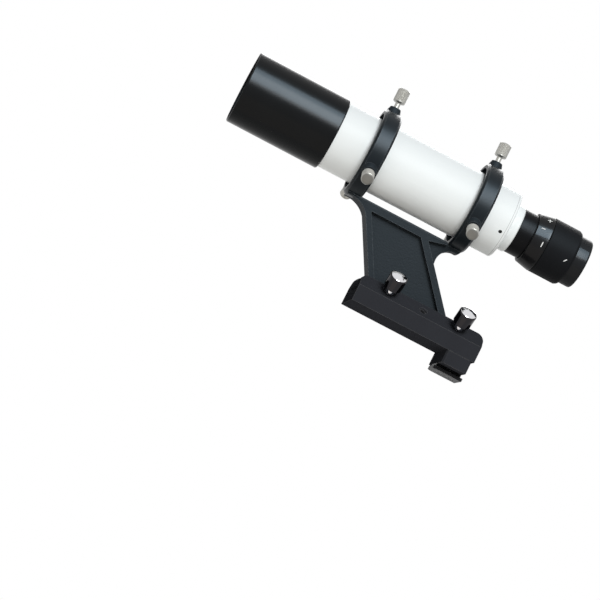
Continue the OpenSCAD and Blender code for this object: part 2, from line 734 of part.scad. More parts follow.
module focuser_neck() color("#1c1c1c")
    turned([[neck_front_x, neck_bore / 2], [neck_rear_x, neck_bore / 2], [neck_rear_x, neck_d / 2 - edge],
        [neck_rear_x - edge, neck_d / 2], [hub_rear_x, neck_d / 2], [hub_rear_x, neck_spigot_d / 2],
        [neck_front_x, neck_spigot_d / 2]]);

module lens_barrel() color("#1c1c1c")
    turned([[barrel_front_x, barrel_bore_r], [wire_seat_x, barrel_bore_r],
        [wire_seat_x, eye_clear_d / 2], [eye_stack_x, eye_clear_d / 2], [eye_stack_x, barrel_bore_r],
        [barrel_rear_x, barrel_bore_r], [barrel_rear_x, sleeve_bore_r - run],
        [flange_front_x, sleeve_bore_r - run], [flange_front_x, barrel_r], [barrel_front_x, barrel_r]]);

// Field stop ring with two crossed wires
module crosshair_ring() color("#4a4a4a") {
    ring_front_x = wire_seat_x - wire_ring_t;
    turned_ring(ring_front_x, wire_seat_x, eye_clear_d / 2, barrel_bore_r - fit);
    for (turn = [0, 90]) translate([ring_front_x + wire_ring_t / 2, 0, axis_z]) rotate([turn, 0, 0])
        cylinder(h = eye_clear_d + lap, d = wire_d, center = true);
}

module field_lens() color("#a9c8c4", 0.5)
    turned_lens(eye_stack_x, field_rear_x, barrel_bore_r - fit, eye_clear_d / 2, 0, eye_lens_bulge);

module eyepiece_spacer() color("#1c1c1c")
    turned_ring(field_rear_x, eye_front_x, eye_clear_d / 2, barrel_bore_r - fit);

module eye_lens() color("#a9c8c4", 0.5)
    turned_lens(eye_front_x, eye_rear_x, barrel_bore_r - fit, eye_clear_d / 2, eye_lens_bulge,
        eye_lens_bulge / 2);

module eye_retaining_ring() color("#1c1c1c")
    turned_ring(eye_rear_x, eye_rear_x + eye_ring_t, eye_clear_d / 2, barrel_bore_r - fit);

module focus_sleeve() color("#161616") {
    band_rear_x = sleeve_front_x + band_l;
    turned([[sleeve_front_x, sleeve_bore_r], [rib_rear_x - rib_t, sleeve_bore_r],
        [rib_rear_x - rib_t, barrel_r + run], [rib_rear_x, barrel_r + run], [rib_rear_x, sleeve_bore_r],
        [sleeve_rear_x, sleeve_bore_r], [sleeve_rear_x, sleeve_core_r], [band_rear_x, sleeve_core_r],
        [band_rear_x, grip_d / 2 - small_edge], [band_rear_x - small_edge, grip_d / 2],
        [band_rear_x - band_flat, grip_d / 2],
        [sleeve_front_x + edge, sleeve_front_d / 2], [sleeve_front_x, sleeve_front_d / 2 - edge]]);
}

module rubber_grip() color("#101010") {
    grip_front_x = sleeve_front_x + band_l + fit;
    turned([[grip_front_x, sleeve_core_r + eps], [sleeve_rear_x, sleeve_core_r + eps],
        [sleeve_rear_x, grip_d / 2 - grip_bevel], [sleeve_rear_x - 2 * grip_bevel, grip_d / 2],
        [grip_front_x + edge, grip_d / 2], [grip_front_x, grip_d / 2 - edge]]);
}

module eyecup() color("#121212")
    turned(concat([[eyecup_front_x, eye_clear_d / 2], [sleeve_rear_x, eye_clear_d / 2],
        [eyecup_rear_x, eyecup_mouth_d / 2]],
        [for (turn = [0 : 22.5 : 90]) [eyecup_rear_x - eyecup_edge * (1 - cos(turn)),
            eyecup_d / 2 - eyecup_edge * (1 - sin(turn))]],
        [[sleeve_rear_x + fit, eyecup_d / 2], [sleeve_rear_x + fit, sleeve_bore_r - fit],
        [eyecup_front_x, sleeve_bore_r - fit]]));

shoe_foot();
shoe_riser();
foot_screws();
clamp_base();
clamp_screw_front();
clamp_screw_rear();
ring_bracket();
front_top_screw();
front_near_screw();
front_far_screw();
rear_top_screw();
rear_near_screw();
rear_far_screw();
front_top_tip();
front_near_tip();
front_far_tip();
rear_top_tip();
rear_near_tip();
rear_far_tip();
dew_shield();
main_tube();
objective_cell();
crown_lens();
lens_spacer();
flint_lens();
lens_retaining_ring();
front_glare_stop();
rear_glare_stop();
rear_cell();
cell_grub_screws();
focuser_neck();
lens_barrel();
crosshair_ring();
field_lens();
eyepiece_spacer();
eye_lens();
eye_retaining_ring();
focus_sleeve();
rubber_grip();
eyecup();
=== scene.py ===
"""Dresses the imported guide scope: knurled and threaded screws, softened castings, finishes and a studio."""

import json
import math

import bmesh
import bpy
from bpy.props import FloatProperty, FloatVectorProperty, IntProperty, PointerProperty
from mathutils import Matrix, Vector

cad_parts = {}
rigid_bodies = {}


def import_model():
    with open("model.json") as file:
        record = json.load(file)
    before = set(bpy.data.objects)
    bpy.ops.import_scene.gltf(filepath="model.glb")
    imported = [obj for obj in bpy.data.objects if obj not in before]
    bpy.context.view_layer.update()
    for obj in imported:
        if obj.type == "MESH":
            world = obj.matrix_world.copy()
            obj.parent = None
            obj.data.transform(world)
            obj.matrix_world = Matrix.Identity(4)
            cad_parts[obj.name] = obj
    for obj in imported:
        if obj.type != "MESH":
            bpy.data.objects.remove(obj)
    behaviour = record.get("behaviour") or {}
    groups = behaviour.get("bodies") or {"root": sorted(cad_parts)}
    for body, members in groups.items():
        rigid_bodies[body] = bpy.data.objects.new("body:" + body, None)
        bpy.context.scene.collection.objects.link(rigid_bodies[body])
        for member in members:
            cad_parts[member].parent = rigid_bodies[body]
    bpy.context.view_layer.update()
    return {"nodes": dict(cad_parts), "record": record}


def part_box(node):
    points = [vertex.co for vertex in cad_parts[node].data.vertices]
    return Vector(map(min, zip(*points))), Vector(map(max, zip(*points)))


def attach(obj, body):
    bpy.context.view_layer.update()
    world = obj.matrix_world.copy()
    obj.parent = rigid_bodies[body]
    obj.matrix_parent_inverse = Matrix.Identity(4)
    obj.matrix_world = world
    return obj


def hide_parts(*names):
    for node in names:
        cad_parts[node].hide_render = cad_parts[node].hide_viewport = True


bl_info = {
    "name": "Guide Scope Dresser",
    "version": (1, 0, 0),
    "blender": (4, 5, 0),
    "location": "3D View > Sidebar > Guide Scope",
    "description": "Dresses the packed guide scope with detailed pieces, finishes and a studio",
    "category": "Object",
}

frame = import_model()

MM = 0.001
WELD = 1e-6
SMOOTH_ANGLE = math.radians(38)
SOFTEN_ANGLE = math.radians(28)
FLAT_ANGLE = math.radians(0.5)
TURN_STEPS = 96
THREAD_STEPS = 24
# Depths of the threads, in pitches
ROD_THREAD_DEPTH = 0.54
BORE_THREAD_DEPTH = 0.45


def middle(node):
    """The middle of a node's box at rest."""
    low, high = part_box(node)
    return (low + high) / 2


def span(node):
    """The sides of a node's box at rest."""
    low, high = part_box(node)
    return high - low


def body_of(node):
    """The body that carries a node."""
    bodies = frame["record"]["behaviour"]["bodies"]
    return next(body for body, nodes in bodies.items() if node in nodes)


def slot_of(node):
    """The material slot of a node."""
    return next(part["material_slot"] for part in frame["record"]["subparts"] if part["node"] == node)


AXIS_Z = middle("main_tube").z
TUBE_R = span("main_tube").y / 2
TUBE_REAR_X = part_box("main_tube")[1].x
DEW_R = span("dew_shield").y / 2
SLEEVE_FRONT_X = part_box("focus_sleeve")[0].x
GRIP_REAR_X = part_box("rubber_grip")[1].x
RING_X = {"front": middle("front_top_screw").x, "rear": middle("rear_top_screw").x}
SCREW_TURNS = {"top": 0.0, "near": math.radians(120), "far": math.radians(240)}
FLANK_TURN = math.radians(45)
FLANK_OUT = Vector((0, -math.sin(FLANK_TURN), math.cos(FLANK_TURN)))
# How far out the rings' smooth paint reaches, and the heights between which the rear ring's arm ends
RING_SKIN_R = 27.6 * MM
ARM_ZONE = (AXIS_Z - 1.6 * TUBE_R, AXIS_Z - TUBE_R)
CUP_RIBS = 6
CUP_RIB_TURN = math.radians(48.7)
# The stage: the floor's radius, the distances between which it fades, and the point that the lamps face
FLOOR_R = 2.2
FLOOR_FADE = (0.35, 1.5)
LAMP_AIM = Vector((-0.07, 0, AXIS_Z))


# Sizes and colours that a user would change


def length(name, text, default):
    """A length property whose default is in millimetres."""
    return FloatProperty(name=name, description=text, default=default * MM, min=0.0, precision=5,
                         subtype="DISTANCE", unit="LENGTH")


def colour(name, text, default):
    """A colour property in linear values."""
    return FloatVectorProperty(name=name, description=text, default=default, size=3, min=0.0, max=1.0,
                               subtype="COLOR")


def power(name, text, default):
    """The power of a lamp in watts."""
    return FloatProperty(name=name, description=text, default=default, min=0.0, subtype="POWER")


class GuideScopeSizes(bpy.types.PropertyGroup):
    """Sizes of the details that are made on top of the solids."""

    ring_thread_d: length("Ring screw thread", "Thread diameter of the ring screws", 3.8)
    ring_neck_d: length("Ring screw neck", "Neck diameter of the ring screws", 3.2)
    ring_neck_l: length("Ring screw neck length", "Bare neck between boss and head", 3.8)
    ring_head_d: length("Ring screw head", "Head diameter of the ring screws", 7.3)
    ring_head_l: length("Ring screw head length", "Head length of the ring screws", 8.4)
    knurl_depth: length("Knurl depth", "Depth of the diamond knurl", 0.17)
    knurl_columns: IntProperty(name="Knurl columns", description="Points round a head", default=60, min=8)
    knurl_rows: IntProperty(name="Knurl rows", description="Points along a head", default=22, min=2)
    thread_pitch: length("Thread pitch", "Pitch of the screw threads", 0.7)
    flank_h: length("Flank height", "Height of the clamp's slanted flank", 7.6)
    clamp_thread_d: length("Clamp screw thread", "Thread diameter of the clamp screws", 3.8)
    clamp_thread_l: length("Clamp screw bite", "Length of thread inside the clamp", 3.9)
    clamp_neck_d: length("Clamp screw neck", "Neck diameter of the clamp screws", 5.8)
    clamp_neck_l: length("Clamp screw neck length", "Bare neck between flank and head", 4.8)
    clamp_head_d: length("Clamp screw head", "Head diameter of the clamp screws", 10.8)
    clamp_head_l: length("Clamp screw head length", "Head length of the clamp screws", 10.0)
    clamp_rim: length("Clamp screw rim", "Rounding of a clamp screw's end", 1.4)
    clamp_dome: length("Clamp screw dome", "Height of the domed end of a clamp screw", 0.95)
    sink: length("Countersink", "Width of the countersink of the clamp's empty hole", 0.5)
    small_edge: length("Small edge", "Edge breaks on the screws", 0.4)
    edge_break: length("Edge break", "Rounding of the machined edges", 0.3)
    cast_edge: length("Cast edge", "Rounding of the casting's edges", 0.5)
    arm_end: length("Arm end", "Rounding of the lower end of the rear ring's arm", 1.8)
    turned_edge: length("Turned edge", "Rounding of the turned pieces' edges", 0.2)
    mark_w: length("Mark width", "Stroke width of the focus marks", 0.5)
    mark_t: length("Mark thickness", "Thickness of the focus marks' paint", 0.04)
    cup_rib_l: length("Eyecup rib length", "Length of the moulded ribs on the eyecup", 4.4)
    cup_rib_w: length("Eyecup rib width", "Width of the moulded ribs on the eyecup", 0.35)
    cup_rib_t: length("Eyecup rib height", "Height of the moulded ribs on the eyecup", 0.12)
    cup_rib_back: length("Eyecup rib place", "Way from the eyecup's end to the middle of its ribs", 4.1)


class GuideScopeColours(bpy.types.PropertyGroup):
    """Colours of the finishes."""

    tube_white: colour("Tube", "Gloss white paint of the tube", (0.86, 0.88, 0.875))
    dew_black: colour("Dew shield", "Gloss black of the dew shield", (0.0045, 0.005, 0.0055))
    bracket_paint: colour("Bracket", "Crinkle paint of the ring bracket", (0.010, 0.0135, 0.0165))
    clamp_grey: colour("Clamp", "Anodised finish of the clamp and riser", (0.029, 0.030, 0.035))
    nickel: colour("Ring screws", "Satin nickel of the ring screws", (0.43, 0.426, 0.40))
    # The clamp screws' dark plating with bright ends and necks paints a reflection pattern: the bright colour
    # is a painted reflection.
    dark_chrome: colour("Clamp screws", "Dark polished plating of the clamp screws", (0.032, 0.031, 0.034))
    painted_reflection_chrome: colour("Clamp screw ends", "Bright polished ends of the clamp screws", (0.70, 0.70, 0.72))
    shoe_black: colour("Shoe foot", "Black anodised finish of the shoe foot", (0.014, 0.014, 0.0155))
    screw_black: colour("Small screws", "Blackened steel of the small screws", (0.02, 0.02, 0.02))
    nylon: colour("Nylon tips", "Nylon of the ring screws' tips", (0.72, 0.69, 0.60))
    focuser_black: colour("Focuser", "Black anodised finish of the focuser", (0.005, 0.005, 0.0055))
    rubber: colour("Rubber", "Rubber of the grip and eyecup", (0.008, 0.0085, 0.0095))
    baffle: colour("Inside", "Blackening inside the tube", (0.006, 0.006, 0.006))
    spacer: colour("Lens spacer", "Bare metal of the lens spacer", (0.58, 0.58, 0.57))
    glass: colour("Glass", "Glass of the lenses", (0.93, 0.97, 0.96))
    mark: colour("Marks", "White paint of the focus marks", (0.85, 0.85, 0.83))


class GuideScopeStudio(bpy.types.PropertyGroup):
    """Camera, floor and light."""

    lens: FloatProperty(name="Lens", description="Focal length of the camera in millimetres", default=138.0,
                        min=10.0)
    camera: FloatVectorProperty(name="Camera", description="Place of the camera", subtype="TRANSLATION",
                                unit="LENGTH", default=(-0.22039, -1.28954, -0.17292))
    aim: FloatVectorProperty(name="Aim", description="Point in the middle of the picture",
                             subtype="TRANSLATION", unit="LENGTH", default=(-0.09346, 0.0, 0.00032))
    roll: FloatProperty(name="Roll", description="Roll of the camera", subtype="ANGLE",
                        default=math.radians(-26.76))
    floor_z: FloatProperty(name="Floor", description="Height of the studio floor", subtype="DISTANCE",
                           unit="LENGTH", default=-0.45)
    ambient: FloatProperty(name="Ambient", description="Strength of the light from all round", default=0.15)
    key: power("Key", "Power of the key lamp", 15.2)
    sheen: power("Sheen", "Power of the lamp that only dark gloss shows", 58.0)
    fill: power("Fill", "Power of the lamp behind", 11.5)
    bounce: power("Bounce", "Power of the warm lamp below", 0.6)


def sizes():
    """The scene's own sizes."""
    return bpy.context.scene.guide_scope_sizes


def colours():
    """The scene's own colours."""
    return bpy.context.scene.guide_scope_colours


def studio():
    """The scene's own studio values."""
    return bpy.context.scene.guide_scope_studio


# Shader expressions


class Link:
    """One shader value that takes part in Python arithmetic."""

    def __init__(self, tone, socket):
        self.tone = tone
        self.socket = socket

    def math(self, operation, first, second=0.0):
        """The value of a Math node."""
        return self.tone.add("ShaderNodeMath", {"operation": operation}, {0: first, 1: second})

    def __add__(self, other):
        return self.math("ADD", self, other)

    def __radd__(self, other):
        return self.math("ADD", other, self)

    def __sub__(self, other):
        return self.math("SUBTRACT", self, other)

    def __rsub__(self, other):
        return self.math("SUBTRACT", other, self)

    def __mul__(self, other):
        return self.math("MULTIPLY", self, other)

    def __rmul__(self, other):
        return self.math("MULTIPLY", other, self)

    def __pow__(self, other):
        return self.math("POWER", self, other)

    def __gt__(self, other):
        return self.math("GREATER_THAN", self, other)

    def __lt__(self, other):
        return self.math("LESS_THAN", self, other)

    def __abs__(self):
        return self.math("ABSOLUTE", self)

    def sine(self):
        return self.math("SINE", self)

    def most(self, other):
        return self.math("MAXIMUM", self, other)

    def step(self, low, high):
        """0 below low, 1 above high and a smooth way between."""
        return self.tone.add("ShaderNodeMapRange", {"interpolation_type": "SMOOTHSTEP"},
                             {"Value": self, "From Min": low, "From Max": high})


def shade(base, factor):
    """A colour made lighter or darker."""
    return tuple(min(1.0, part * factor) for part in base)


class Tone:
    """A node tree under construction, with the patterns that the finishes share."""

    def __init__(self, tree):
        self.tree = tree
        self.tree.nodes.clear()

    def add(self, kind, settings, values, *outputs):
        """Adds a node, sets it up, gives its sockets values or links, and hands out its outputs."""
        node = self.tree.nodes.new(kind)
        for key, value in settings.items():
            setattr(node, key, value)
        for key, value in values.items():
            socket = node.inputs[key]
            if isinstance(value, Link):
                self.tree.links.new(value.socket, socket)
            elif socket.type == "RGBA":
                socket.default_value = (*value, 1.0)
            else:
                socket.default_value = value
        given = [Link(self, node.outputs[key]) for key in outputs or range(min(1, len(node.outputs)))]
        return given[0] if len(given) == 1 else given

    def seat(self, scale=(1, 1, 1), turn=(0, 0, 0)):
        """Object coordinates, turned and stretched."""
        place = self.add("ShaderNodeTexCoord", {}, {}, "Object")
        return self.add("ShaderNodeMapping", {}, {"Vector": place, "Rotation": turn, "Scale": scale})

    def noise(self, scale, detail=3.0, rough=0.5, seat=None):
        """Soft noise between 0 and 1, with scale in features a metre."""
        return self.add("ShaderNodeTexNoise", {}, {"Vector": seat or self.seat(), "Scale": scale,
                                                   "Detail": detail, "Roughness": rough})

    def pebbles(self, scale):
        """Rounded grain, as distance from scattered points."""
        return self.add("ShaderNodeTexVoronoi", {"feature": "SMOOTH_F1"}, {"Vector": self.seat(),
                                                                          "Scale": scale})

    def along(self):
        """Place along the optical axis."""
        return self.add("ShaderNodeSeparateXYZ", {}, {0: self.seat()}, "X")

    def away(self):
        """Distance from the optical axis."""
        y, z = self.add("ShaderNodeSeparateXYZ", {}, {0: self.seat()}, "Y", "Z")
        up = z - AXIS_Z
        return (y * y + up * up) ** 0.5

    def dot(self, first, second):
        """The length of one vector along another."""
        return self.add("ShaderNodeVectorMath", {"operation": "DOT_PRODUCT"}, {0: first, 1: second}, "Value")

    def blend(self, share, first, second):
        """A colour between two colours."""
        return self.add("ShaderNodeMix", {"data_type": "RGBA"}, {0: share, 6: first, 7: second}, 2)

    def mottle(self, share, base, low, high):
        """A colour that wanders between two shades of one."""
        return self.blend(share, shade(base, low), shade(base, high))

    def edges(self, radius, bend=0.2):
        """1 on exposed edges, where a rounded normal leaves the true one by a bend."""
        rounded = self.add("ShaderNodeBevel", {"samples": 4}, {"Radius": radius})
        true = self.add("ShaderNodeNewGeometry", {}, {}, "Normal")
        return (1.0 - self.dot(rounded, true)).step(0.1 * bend, bend)

    def bump(self, height, depth, strength):
        """A normal from a height, with depth in metres."""
        return self.add("ShaderNodeBump", {}, {"Height": height, "Distance": depth, "Strength": strength})

    def surface(self, **values):
        """The principled shader and the output."""
        inputs = {key.replace("_", " "): value for key, value in values.items()}
        shader = self.add("ShaderNodeBsdfPrincipled", {}, inputs)
        self.add("ShaderNodeOutputMaterial", {}, {"Surface": shader})


FINISHES = {}


def finish(make):
    """Lists a finish by its name. It is made the first time and handed out again later."""
    def give():
        name = "finish_" + make.__name__
        found = bpy.data.materials.get(name)
        if found is None:
            found = bpy.data.materials.new(name)
            found.use_nodes = True
            make(Tone(found.node_tree))
        return found
    FINISHES[make.__name__] = give
    return give


# Finishes, named as the record's material slots are, and the paint of the marks


@finish
def tube_white(tone):
    """Gloss white paint outside, blackened inside, with a fine line where the rear cell meets the tube."""
    base = colours().tube_white
    x = tone.along()
    dark = (tone.away() < TUBE_R - 0.6 * MM) * (x < TUBE_REAR_X)
    seam = 1.0 - abs(x - TUBE_REAR_X).step(0.05 * MM, 0.2 * MM)
    drift = tone.noise(22.0, 4.0)
    specks = tone.noise(800.0, 2.0, 0.6).step(0.68, 0.8)
    paint = tone.mottle(drift, base, 0.97, 1.0)
    paint = tone.blend(specks * 0.06, paint, (0.50, 0.48, 0.44))
    paint = tone.blend(seam * 0.6, paint, (0.20, 0.20, 0.20))
    paint = tone.blend(dark, paint, colours().baffle)
    peel = tone.noise(900.0, 2.0, 0.4)
    tone.surface(Base_Color=paint, Roughness=0.36 + 0.06 * drift + 0.4 * dark, Specular_IOR_Level=0.12,
                 Normal=tone.bump(peel, 0.01 * MM, 0.5))


@finish
def dew_black(tone):
    """Gloss black coating with faint drawing lines along the sleeve, matt inside."""
    base = colours().dew_black
    inside = tone.away() < DEW_R - 0.7 * MM
    lines = tone.noise(1.0, 3.0, 0.6, tone.seat((40, 1500, 1500)))
    cloud = tone.noise(60.0, 4.0)
    pale_edges = tone.edges(0.5 * MM) * tone.noise(700.0, 3.0).step(0.45, 0.65)
    black = tone.mottle(cloud, base, 0.8, 1.3)
    black = tone.blend(pale_edges * 0.35, black, (0.07, 0.067, 0.063))
    tone.surface(Base_Color=black, Roughness=0.19 + 0.04 * cloud + 0.04 * lines + 0.4 * inside,
                 Normal=tone.bump(lines, 0.006 * MM, 0.5), Specular_IOR_Level=0.1)


@finish
def bracket_paint(tone):
    """Black crinkle paint on the casting, smoother on the turned rings, with a painted highlight line along
    its edges together with some wear.
    """
    base = colours().bracket_paint
    ring = tone.away() < RING_SKIN_R
    grain = tone.noise(1500.0, 3.0, 0.6)
    crinkle = tone.pebbles(950.0)
    cloud = tone.noise(70.0, 4.0)
    # Pale edges: a painted highlight, a lighter line along the casting's edges broken up by noise, together
    # with edge wear.
    pale_edges = tone.edges(0.7 * MM, 0.06) * (0.5 + 0.5 * tone.noise(420.0, 4.0).step(0.4, 0.62))
    paint = tone.mottle(cloud, base, 0.85, 1.2)
    paint = tone.blend(pale_edges * 0.7, paint, (0.085, 0.093, 0.102))
    height = (grain * 0.5 + crinkle) * (1.0 - 0.85 * ring)
    tone.surface(Base_Color=paint, Roughness=0.56 + 0.08 * cloud + 0.06 * grain - 0.28 * ring - 0.08 * pale_edges,
                 Normal=tone.bump(height, 0.10 * MM, 0.8), Specular_IOR_Level=0.09)


@finish
def clamp_anodised(tone):
    """Dark grey anodised aluminium with a fine blasted grain, and paler edges that are a painted highlight
    line together with some wear.
    """
    base = colours().clamp_grey
    grain = tone.noise(2600.0, 2.0, 0.6)
    cloud = tone.noise(45.0, 4.0)
    # Pale edges: a painted highlight line along the edges and bends, together with edge wear.
    pale_edges = tone.edges(0.5 * MM, 0.05) * (0.6 + 0.4 * tone.noise(260.0, 3.0).step(0.4, 0.6))
    grey = tone.mottle(cloud, base, 0.88, 1.15)
    grey = tone.blend(pale_edges * 0.8, grey, (0.11, 0.108, 0.11))
    tone.surface(Base_Color=grey, Roughness=0.56 + 0.1 * cloud + 0.08 * grain,
                 Normal=tone.bump(grain, 0.012 * MM, 0.6), Specular_IOR_Level=0.0)


@finish
def nickel_screw(tone):
    """Satin nickel plating, brighter on the knurl's points, with painted shade that darkens the ends of the
    heads.
    """
    base = colours().nickel
    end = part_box("front_top_screw")[1].z - AXIS_Z
    # Painted shade: the end faces and the inner half of the rims get a darker copy of the nickel, standing in
    # for dark reflections.
    painted_dark_end = tone.away().step(end - 0.6 * MM, end - 0.12 * MM)
    cloud = tone.noise(220.0, 4.0)
    worn = tone.edges(0.2 * MM)
    metal = tone.mottle(cloud, base, 0.84, 1.1)
    metal = tone.blend(worn * 0.5, metal, shade(base, 1.25))
    metal = tone.blend(painted_dark_end, metal, tone.mottle(cloud, base, 0.34, 0.46))
    tone.surface(Base_Color=metal, Metallic=1.0, Roughness=0.34 + 0.12 * cloud - 0.08 * worn,
                 Normal=tone.bump(tone.noise(2400.0, 2.0), 0.006 * MM, 0.5))


@finish
def polished_screw(tone):
    """Dark mirror plating with a painted bright reflection on the end and neck, and a few fine handling
    marks.
    """
    size = sizes()
    base = colours().dark_chrome
    out = tone.dot(tone.seat(), FLANK_OUT) - flank_point(0.0).dot(FLANK_OUT)
    top = size.clamp_neck_l + size.clamp_head_l
    neck = 1.0 - out.step(size.clamp_neck_l - 0.6 * MM, size.clamp_neck_l)
    end = top - size.clamp_dome
    # Painted reflection: the domed end and the neck take a bright colour against the dark plating, standing
    # in for the bright surroundings they mirror.
    painted_reflection = neck.most(out.step(end - 0.25 * MM, end - 0.15 * MM))
    cloud = tone.noise(160.0, 3.0)
    hair = tone.noise(1.0, 2.0, 0.5, tone.seat((350, 2600, 2600), (0.4, 0.2, 0.6)))
    plate = tone.mottle(cloud, base, 0.85, 1.15)
    tone.surface(Base_Color=tone.blend(painted_reflection, plate, colours().painted_reflection_chrome), Metallic=1.0,
                 Roughness=0.07 + 0.05 * cloud + 0.05 * hair.step(0.6, 0.75),
                 Normal=tone.bump(hair, 0.001 * MM, 0.3))


@finish
def shoe_metal(tone):
    """Black anodised foot, rubbed towards bare metal on its edges."""
    base = colours().shoe_black
    brush = tone.noise(1.0, 3.0, 0.6, tone.seat((60, 2200, 2200)))
    pale_edges = tone.edges(0.5 * MM) * tone.noise(500.0, 3.0).step(0.35, 0.6)
    black = tone.mottle(brush, base, 0.8, 1.3)
    tone.surface(Base_Color=tone.blend(pale_edges * 0.7, black, (0.40, 0.39, 0.37)), Metallic=0.7 * pale_edges,
                 Roughness=0.34 + 0.14 * brush, Normal=tone.bump(brush, 0.008 * MM, 0.6),
                 Specular_IOR_Level=0.06)


@finish
def dark_screw(tone):
    """Blackened steel of the small screws."""
    base = colours().screw_black
    cloud = tone.noise(600.0, 3.0)
    tone.surface(Base_Color=tone.mottle(cloud, base, 0.6, 1.7), Metallic=0.8,
                 Roughness=0.38 + 0.15 * cloud, Normal=tone.bump(cloud, 0.01 * MM, 0.5))


@finish
def nylon_tip(tone):
    """Natural nylon with a slightly cloudy surface."""
    base = colours().nylon
    cloud = tone.noise(500.0, 3.0)
    tone.surface(Base_Color=tone.mottle(cloud, base, 0.88, 1.0), Roughness=0.45 + 0.15 * cloud,
                 Normal=tone.bump(cloud, 0.01 * MM, 0.4))


@finish
def inner_black(tone):
    """Matt blackening of cells, stops and rings, with fine turned grooves against glare."""
    base = colours().baffle
    grain = tone.noise(2200.0, 3.0)
    grooves = (tone.along() * (math.tau / (0.75 * MM))).sine()
    tone.surface(Base_Color=tone.mottle(grain, base, 0.8, 1.5),
                 Roughness=0.62 + 0.15 * grain, Normal=tone.bump(grooves * 0.5 + grain, 0.03 * MM, 0.5),
                 Specular_IOR_Level=0.1)


@finish
def spacer_metal(tone):
    """Bare metal of the thin spacer between the lenses."""
    base = colours().spacer
    cloud = tone.noise(400.0, 3.0)
    tone.surface(Base_Color=tone.mottle(cloud, base, 0.85, 1.0), Metallic=1.0,
                 Roughness=0.3 + 0.1 * cloud, Normal=tone.bump(cloud, 0.004 * MM, 0.5))


@finish
def lens_glass(tone):
    """Clear glass under a thin coating that mirrors a faint green to violet."""
    dust = tone.noise(1500.0, 2.0).step(0.68, 0.85)
    tone.surface(Base_Color=tone.blend(dust * 0.1, colours().glass, (0.8, 0.8, 0.78)),
                 Roughness=0.02 + 0.1 * dust, Transmission_Weight=1.0, IOR=1.52, Thin_Film_Thickness=460.0,
                 Thin_Film_IOR=1.38)


@finish
def focuser_black(tone):
    """Black anodised turning with fine tool marks, glossier on the sleeve's band than on the neck."""
    base = colours().focuser_black
    x = tone.along()
    band = x > SLEEVE_FRONT_X
    tool = (x * (math.tau / (0.22 * MM))).sine()
    cloud = tone.noise(90.0, 4.0)
    pale_edges = tone.edges(0.3 * MM) * tone.noise(800.0, 3.0).step(0.4, 0.6)
    black = tone.mottle(cloud, base, 0.8, 1.4)
    black = tone.blend(pale_edges * 0.35, black, (0.06, 0.06, 0.06))
    tone.surface(Base_Color=black, Roughness=0.32 + 0.06 * cloud, Specular_IOR_Level=0.045,
                 Normal=tone.bump(tool * (1.0 - 0.7 * band), 0.003 * MM, 0.5), Coat_Weight=0.18 * band,
                 Coat_Roughness=0.14)


@finish
def grip_rubber(tone):
    """Matt moulded rubber with a fine grain and a slight bloom, glossier on the eyecup."""
    base = colours().rubber
    cup = tone.along() > GRIP_REAR_X
    grain = tone.pebbles(1900.0)
    cloud = tone.noise(150.0, 4.0)
    bloom = tone.edges(0.5 * MM) * 0.4
    black = tone.mottle(cloud, base, 0.85, 1.25)
    black = tone.blend(bloom, black, (0.022, 0.022, 0.023))
    tone.surface(Base_Color=black, Roughness=0.50 + 0.12 * cloud, Specular_IOR_Level=0.03,
                 Normal=tone.bump(grain * (1.0 - 0.8 * cup), 0.03 * MM, 0.6), Coat_Weight=0.16 * cup,
                 Coat_Roughness=0.16)


@finish
def mark_paint(tone):
    """White paint of the focus marks, a little worn."""
    wear = tone.noise(2600.0, 3.0)
    tone.surface(Base_Color=tone.blend(wear.step(0.6, 0.8) * 0.4, colours().mark, (0.30, 0.30, 0.30)),
                 Roughness=0.5 + 0.2 * wear, Normal=tone.bump(wear, 0.006 * MM, 0.5))


DARK_FINISHES = ("dew_black", "bracket_paint", "focuser_black", "grip_rubber")


# Modelling


def flank_point(x):
    """The middle of the clamp's near flank at x."""
    low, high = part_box("clamp_base")
    half = sizes().flank_h / 2
    return Vector((x, low.y + half, high.z - half))


def on_flank(x):
    """The move that stands a piece made along Z on the clamp's near flank at x."""
    return Matrix.Translation(flank_point(x)) @ Matrix.Rotation(FLANK_TURN, 4, "X")


def surface_r(node, x):
    """The outside radius of a turned node at x."""
    mesh = frame["nodes"][node].data
    found = 0.0
    for edge in mesh.edges:
        ends = [mesh.vertices[index].co for index in edge.vertices]
        first, second = sorted(ends, key=lambda point: point.x)
        if first.x <= x <= second.x and second.x - first.x > WELD:
            point = first.lerp(second, (x - first.x) / (second.x - first.x))
            found = max(found, math.hypot(point.y, point.z - AXIS_Z))
    return found


def bulge(radius, depth, share):
    """Height of a spherical face over its rim, at a share of the rim's radius."""
    if abs(depth) < WELD:
        return 0.0
    ball = (radius ** 2 + depth ** 2) / (2 * abs(depth))
    return math.copysign(math.sqrt(ball ** 2 - (radius * share) ** 2) - ball + abs(depth), depth)


def turned(outline, steps):
    """A body turned about Z from its half outline of radius and height."""
    work = bmesh.new()
    points = [work.verts.new((radius, 0.0, height)) for radius, height in outline]
    lines = [work.edges.new(pair) for pair in zip(points, points[1:])]
    bmesh.ops.spin(work, geom=points + lines, cent=(0, 0, 0), axis=(0, 0, 1), angle=math.tau, steps=steps,
                   use_merge=True)
    bmesh.ops.remove_doubles(work, verts=work.verts, dist=WELD / 10)
    bmesh.ops.recalc_face_normals(work, faces=work.faces)
    return work


